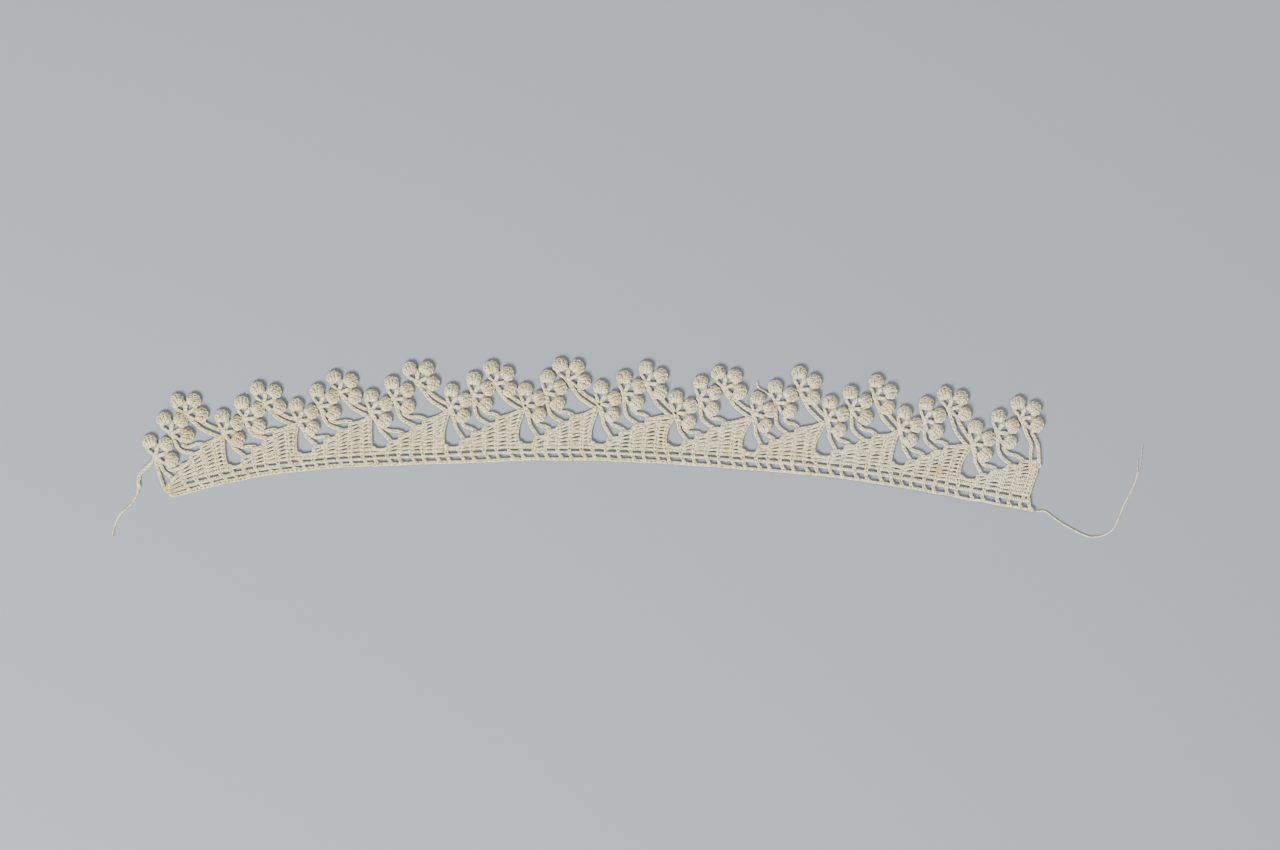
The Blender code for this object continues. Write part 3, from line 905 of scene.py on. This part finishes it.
def cotton(name, settings, painted_shade, stains=()):
    """Unbleached cotton crochet thread, spun and cabled, then left to yellow. It looks matt and
    cream, with a soft bloom of fibre at its edges, fine slanting ply lines and a tone that drifts
    along the lace. Grooves between the plies and yarn that lies deep are painted darker as shade."""
    material = bpy.data.materials.new(name)
    material.use_nodes = True
    tree = material.node_tree
    tree.nodes.clear()
    spot = add_node(tree, "ShaderNodeTexCoord")
    # In a Map Range node 1 and 2 are the ends of what comes in, and 3 and 4 what they become. In
    # a Mix node 0 is the factor, and 6 and 7 are the colours.
    # Tone drifts over some 15 mm, from stitch to stitch over about 1 mm, and yellows to the left
    drift = add_node(tree, "ShaderNodeTexNoise", {"Scale": 65.0, "Detail": 2.0},
                     {"Vector": spot.outputs["Object"]})
    drift_by = add_node(tree, "ShaderNodeMapRange", {1: 0.35, 2: 0.65, 3: 0.0, 4: 0.6},
                        {"Value": drift.outputs["Fac"]})
    sides = add_node(tree, "ShaderNodeSeparateXYZ", links={0: spot.outputs["Object"]})
    aged = add_node(tree, "ShaderNodeMapRange", {1: 0.13, 2: -0.13, 3: 0.0, 4: 0.6},
                    {"Value": sides.outputs["X"]})
    tone_by = add_node(tree, "ShaderNodeMath", {"operation": "ADD", "use_clamp": True},
                       {0: drift_by.outputs["Result"], 1: aged.outputs["Result"]})
    tone = add_node(tree, "ShaderNodeMix",
                    {"data_type": "RGBA", 6: tuple(settings.light), 7: tuple(settings.shade)},
                    {0: tone_by.outputs[0]})
    speck = add_node(tree, "ShaderNodeTexNoise", {"Scale": 1300.0, "Detail": 3.0},
                     {"Vector": spot.outputs["Object"]})
    speck_by = add_node(tree, "ShaderNodeMapRange", {1: 0.46, 2: 0.62, 3: 0.0, 4: 0.75},
                        {"Value": speck.outputs["Fac"]})
    dusty = add_node(tree, "ShaderNodeMix",
                     {"data_type": "RGBA", "blend_type": "MULTIPLY", 7: linear("#AEA98E")},
                     {0: speck_by.outputs["Result"], 6: tone.outputs[2]})
    # Painted shade: yarn that lies deep is painted browner and far darker than the crowns
    sunken = add_node(tree, "ShaderNodeAttribute", {"attribute_name": "sunken"})
    painted_shade_by = add_node(tree, "ShaderNodeMapRange", {1: 0.25, 2: 0.85, 3: 0.0, 4: painted_shade},
                         {"Value": sunken.outputs["Fac"]})
    deep = add_node(tree, "ShaderNodeMix",
                    {"data_type": "RGBA", "blend_type": "MULTIPLY", 7: linear("#5E584A")},
                    {0: painted_shade_by.outputs["Result"], 6: dusty.outputs[2]})
    colour = deep.outputs[2]
    for mark in stains:
        away = add_node(tree, "ShaderNodeVectorMath",
                        {"operation": "DISTANCE",
                         1: (mark.x * MM, mark.y * MM, STAIN_HEIGHT * MM)},
                        {0: spot.outputs["Object"]})
        fade = add_node(tree, "ShaderNodeMapRange",
                        {1: mark.radius * 0.3 * MM, 2: mark.radius * MM, 3: mark.strength, 4: 0.0},
                        {"Value": away.outputs["Value"]})
        marked = add_node(tree, "ShaderNodeMix",
                          {"data_type": "RGBA", "blend_type": "MULTIPLY",
                           7: tuple(settings.stain)},
                          {0: fade.outputs["Result"], 6: colour})
        colour = marked.outputs[2]
    # Grooves between the plies, which slant round the yarn, painted darker as painted shade
    yarn = add_node(tree, "ShaderNodeUVMap", {"uv_map": "UVMap"})
    split = add_node(tree, "ShaderNodeSeparateXYZ", links={0: yarn.outputs["UV"]})
    turns = add_node(tree, "ShaderNodeMath",
                     {"operation": "MULTIPLY", 1: 2 * math.pi * PLIES / PLY_LENGTH},
                     {0: split.outputs["X"]})
    slant = add_node(tree, "ShaderNodeMath",
                     {"operation": "MULTIPLY_ADD", 1: 2 * math.pi * PLIES},
                     {0: split.outputs["Y"], 2: turns.outputs[0]})
    ply = add_node(tree, "ShaderNodeMath", {"operation": "SINE"}, {0: slant.outputs[0]})
    groove = add_node(tree, "ShaderNodeMapRange", {1: -1.0, 2: 0.1, 3: 0.25, 4: 0.0},
                      {"Value": ply.outputs[0]})
    ply_shaded = add_node(tree, "ShaderNodeMix",
                     {"data_type": "RGBA", "blend_type": "MULTIPLY", 7: linear("#B5A98A")},
                     {0: groove.outputs["Result"], 6: colour})
    # Fibres of 20 microns can't show, so they are drawn 0.1 mm wide
    fibre = add_node(tree, "ShaderNodeTexNoise", {"Scale": 9000.0, "Detail": 3.0},
                     {"Vector": spot.outputs["Object"]})
    relief = add_node(tree, "ShaderNodeMath", {"operation": "MULTIPLY_ADD", 1: 0.6},
                      {0: fibre.outputs["Fac"], 2: ply.outputs[0]})
    bump = add_node(tree, "ShaderNodeBump", {"Strength": 0.7, "Distance": 0.00004},
                    {"Height": relief.outputs[0]})
    surface = add_node(tree, "ShaderNodeBsdfPrincipled",
                       {"Roughness": 0.85, "IOR": 1.53, "Sheen Weight": 0.25,
                        "Sheen Roughness": 0.5},
                       {"Base Color": ply_shaded.outputs[2], "Normal": bump.outputs["Normal"]})
    add_node(tree, "ShaderNodeOutputMaterial", links={0: surface.outputs[0]})
    return material


def matt_board(name, colour):
    """Matt painted board, rolled smooth. It is pale, even and without a shine."""
    material = bpy.data.materials.new(name)
    material.use_nodes = True
    tree = material.node_tree
    tree.nodes.clear()
    spot = add_node(tree, "ShaderNodeTexCoord")
    grain = add_node(tree, "ShaderNodeTexNoise", {"Scale": 700.0, "Detail": 3.0},
                     {"Vector": spot.outputs["Object"]})
    bump = add_node(tree, "ShaderNodeBump", {"Strength": 0.2, "Distance": 0.0001},
                    {"Height": grain.outputs["Fac"]})
    surface = add_node(tree, "ShaderNodeBsdfPrincipled",
                       {"Base Color": colour, "Roughness": 0.9},
                       {"Normal": bump.outputs["Normal"]})
    add_node(tree, "ShaderNodeOutputMaterial", links={0: surface.outputs[0]})
    return material


# Settings, operators and panel

class LaceSettings(bpy.types.PropertyGroup):
    """Sizes and colours of the lace that a user would change."""

    thread_thick: bpy.props.FloatProperty(
        name="Thread", description="Thickness of the crochet thread",
        default=THREAD * MM, min=0.0001, max=0.002, precision=5, unit="LENGTH")
    chain_pitch: bpy.props.FloatProperty(
        name="Chain stitch", description="Length of one chain stitch in a stem",
        default=0.0012, min=0.0005, max=0.005, precision=4, unit="LENGTH")
    chain_wide: bpy.props.FloatProperty(
        name="Chain width", description="Width of a chain stem over its threads",
        default=0.00115, min=0.0005, max=0.005, precision=5, unit="LENGTH")
    light: bpy.props.FloatVectorProperty(
        name="Light cotton", description="The cotton where it has stayed palest",
        subtype="COLOR", size=4, min=0.0, max=1.0, default=linear("#F4ECCD"))
    shade: bpy.props.FloatVectorProperty(
        name="Aged cotton", description="The cotton where it has yellowed a little",
        subtype="COLOR", size=4, min=0.0, max=1.0, default=linear("#EDE1B3"))
    stain: bpy.props.FloatVectorProperty(
        name="Stain", description="What a stain takes from the cotton's colour",
        subtype="COLOR", size=4, min=0.0, max=1.0, default=linear("#D8BE78"))
    floor: bpy.props.FloatVectorProperty(
        name="Floor", description="Colour of the board that the lace lies on",
        subtype="COLOR", size=4, min=0.0, max=1.0, default=linear("#8A8F95"))


class LACE_OT_stage(bpy.types.Operator):
    """Lay the board, set the camera straight above it and light it softly"""

    bl_idname = "lace.stage"
    bl_label = "Stage"

    def execute(self, context):
        settings = context.scene.lace_settings
        shape = bmesh.new()
        bmesh.ops.create_grid(shape, x_segments=1, y_segments=1, size=BOARD_HALF)
        mesh = bpy.data.meshes.new("board")
        shape.to_mesh(mesh)
        shape.free()
        mesh.materials.append(matt_board("matt_painted_board", tuple(settings.floor)))
        board = bpy.data.objects.new("board", mesh)
        context.scene.collection.objects.link(board)
        lens = bpy.data.cameras.new("camera")
        lens.lens = CAMERA_LENS
        lens.sensor_width = CAMERA_SENSOR
        lens.sensor_fit = "HORIZONTAL"
        lens.clip_start = CAMERA_NEAREST
        camera = bpy.data.objects.new("camera", lens)
        camera.location = CAMERA_AT
        context.scene.collection.objects.link(camera)
        context.scene.camera = camera
        for name, spot, size, power in LAMPS:
            lamp = bpy.data.lights.new(name, "AREA")
            lamp.size = size
            lamp.energy = power
            light = bpy.data.objects.new(name, lamp)
            light.location = spot
            light.rotation_euler = (-Vector(spot)).to_track_quat("-Z", "Y").to_euler()
            context.scene.collection.objects.link(light)
        world = bpy.data.worlds.new("studio")
        world.use_nodes = True
        sky = world.node_tree.nodes["Background"]
        sky.inputs["Color"].default_value = linear("#E6E8EB")
        sky.inputs["Strength"].default_value = SKY_STRENGTH
        context.scene.world = world
        return {"FINISHED"}


class LACE_OT_tails(bpy.types.Operator):
    """Lay the loose thread ends at both sides of the lace"""

    bl_idname = "lace.tails"
    bl_label = "Loose ends"

    def execute(self, context):
        settings = context.scene.lace_settings
        thick = settings.thread_thick / MM
        yarn = cotton("cotton_crochet_thread_loose", settings, ENDS_PAINTED_SHADE)
        track = board_track(TAIL_RIGHT, RIGHT_STEP)
        routes = (TAIL_RIGHT[:SPLIT_AT + 1], TAIL_RIGHT[SPLIT_AT:], SHORT_PLY)
        yarns = [Yarn([Vector((*spot, thick / 2 + KEEP_OVER))
                       for spot in board_track(route, RIGHT_STEP).points], *swells)
                 for route, swells in zip(routes, PLY_SWELLS)]
        mesh = tube_mesh("loose_end_right", yarns, settings.thread_thick, False)
        right = add_piece("loose_end_right", mesh, yarn, "tail_right")
        path = [(*(spot * MM), settings.thread_thick / 2) for spot in track.points]
        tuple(path[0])
        track = board_track(TAIL_LEFT, LEFT_STEP)
        mesh = tube_mesh("loose_end_left",
                         twisted_pair(track, thick, LEFT_HALVES, LEFT_SWELLS),
                         settings.thread_thick, False)
        left = add_piece("loose_end_left", mesh, yarn, "tail_left")
        braid = Track(track.points[:round(BRAIDED / track.step)], track.step)
        mesh = tube_mesh("braid_left", chain(braid, BRAID_PITCH, BRAID_HALF, CHAIN_HEIGHTS,
                                             random.Random(BRAID_SEED)),
                         settings.thread_thick, True)
        plait = add_piece("braid_left", mesh, yarn, "tail_left")
        path = [(*(spot * MM), settings.thread_thick / 2) for spot in track.points]
        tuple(path[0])
        track = board_track(LOOSE_END, LEFT_STEP)
        yarns = twisted_pair(track, thick, END_HALVES, END_SWELLS)
        tip = Vector((*track.points[-1], thick / 2))
        for across, out in FRAYED:
            fibre = [tip - Vector((0, FRAYED_FROM, 0)),
                     tip + Vector((across / 3, out / 3, FRAYED_HEIGHTS[0])),
                     tip + Vector((across, out, FRAYED_HEIGHTS[1]))]
            yarns.append(Yarn(fibre, *FRAYED_SWELLS))
        mesh = tube_mesh("loose_end_top", yarns, settings.thread_thick, False)
        add_piece("loose_end_top", mesh, yarn, "lace")
        return {"FINISHED"}


class LACE_OT_stems(bpy.types.Operator):
    """Work the chain stems that tie the shamrocks to the ground"""

    bl_idname = "lace.stems"
    bl_label = "Chain stems"

    def execute(self, context):
        settings = context.scene.lace_settings
        thick = settings.thread_thick / MM
        half = (settings.chain_wide / MM - thick) / 2
        yarn = cotton("cotton_crochet_thread_stems", settings, STEMS_PAINTED_SHADE, STAINS)
        for part, first, last in PARTS:
            chance = random.Random(first + STEMS_SEED)
            yarns = []
            for route in stem_routes(first, last):
                yarns += chain(lace_track(route), settings.chain_pitch / MM, half,
                               CHAIN_HEIGHTS, chance)
            mesh = tube_mesh("stems", yarns, settings.thread_thick, True)
            add_piece("stems_" + part, mesh, yarn, "lace")
        return {"FINISHED"}


class LACE_OT_shamrocks(bpy.types.Operator):
    """Work the shamrocks: three puffed leaves round each hub"""

    bl_idname = "lace.shamrocks"
    bl_label = "Shamrocks"

    def execute(self, context):
        settings = context.scene.lace_settings
        yarn = cotton("cotton_crochet_thread_leaves", settings, LEAVES_PAINTED_SHADE, STAINS)
        for part, first, last in PARTS:
            chance = random.Random(first + LEAVES_SEED)
            yarns = []
            for index in range(first, last):
                for number, (_, _, turn) in enumerate(REPEATS[index].shamrocks):
                    along, up = hub_place(index, number)
                    hub = on_lace(along, up)
                    is_open = (index, number) in OPEN_HUBS
                    yarns += hub_yarns(hub, is_open, chance)
                    for angle in LEAF_ANGLES:
                        heading = station_at(along).angle + math.radians(turn + angle)
                        yarns += leaf_yarns(hub, heading, is_open, chance)
            mesh = tube_mesh("leaves", yarns, settings.thread_thick, True)
            add_piece("shamrocks_" + part, mesh, yarn, "lace")
        return {"FINISHED"}


class LACE_OT_ground(bpy.types.Operator):
    """Work the ground: rows of double crochet over an open heading"""

    bl_idname = "lace.ground"
    bl_label = "Ground"

    def execute(self, context):
        settings = context.scene.lace_settings
        yarn = cotton("cotton_crochet_thread_ground", settings, GROUND_PAINTED_SHADE, STAINS)
        for part, first, last in PARTS:
            chance = random.Random(first + GROUND_SEED)
            mesh = tube_mesh("ground", ground_yarns(first, last, chance),
                             settings.thread_thick, True)
            ground = add_piece("ground_" + part, mesh, yarn, "lace")
            length = sum(repeat.length for repeat in REPEATS[first:last]) * MM
        return {"FINISHED"}


class LACE_PT_panel(bpy.types.Panel):
    """The lace's settings and the pieces that it is made of"""

    bl_idname = "LACE_PT_panel"
    bl_label = "Crocheted edging"
    bl_space_type = "VIEW_3D"
    bl_region_type = "UI"
    bl_category = "Lace"

    def draw(self, context):
        settings = context.scene.lace_settings
        for name in LaceSettings.__annotations__:
            self.layout.prop(settings, name)
        for operator in OPERATORS:
            self.layout.operator(operator.bl_idname)


OPERATORS = (LACE_OT_stage, LACE_OT_tails, LACE_OT_stems, LACE_OT_shamrocks, LACE_OT_ground)
CLASSES = (LaceSettings, *OPERATORS, LACE_PT_panel)


def register():
    """Register the classes and the scene's settings."""
    for item in CLASSES:
        bpy.utils.register_class(item)
    bpy.types.Scene.lace_settings = bpy.props.PointerProperty(type=LaceSettings)


def unregister():
    """Remove the settings and the classes."""
    del bpy.types.Scene.lace_settings
    for item in reversed(CLASSES):
        bpy.utils.unregister_class(item)


def main():
    """Build the stage and every piece in turn."""
    register()
    bpy.ops.lace.stage()
    bpy.ops.lace.tails()
    bpy.ops.lace.stems()
    bpy.ops.lace.shamrocks()
    bpy.ops.lace.ground()


if __name__ == "__main__":
    main()
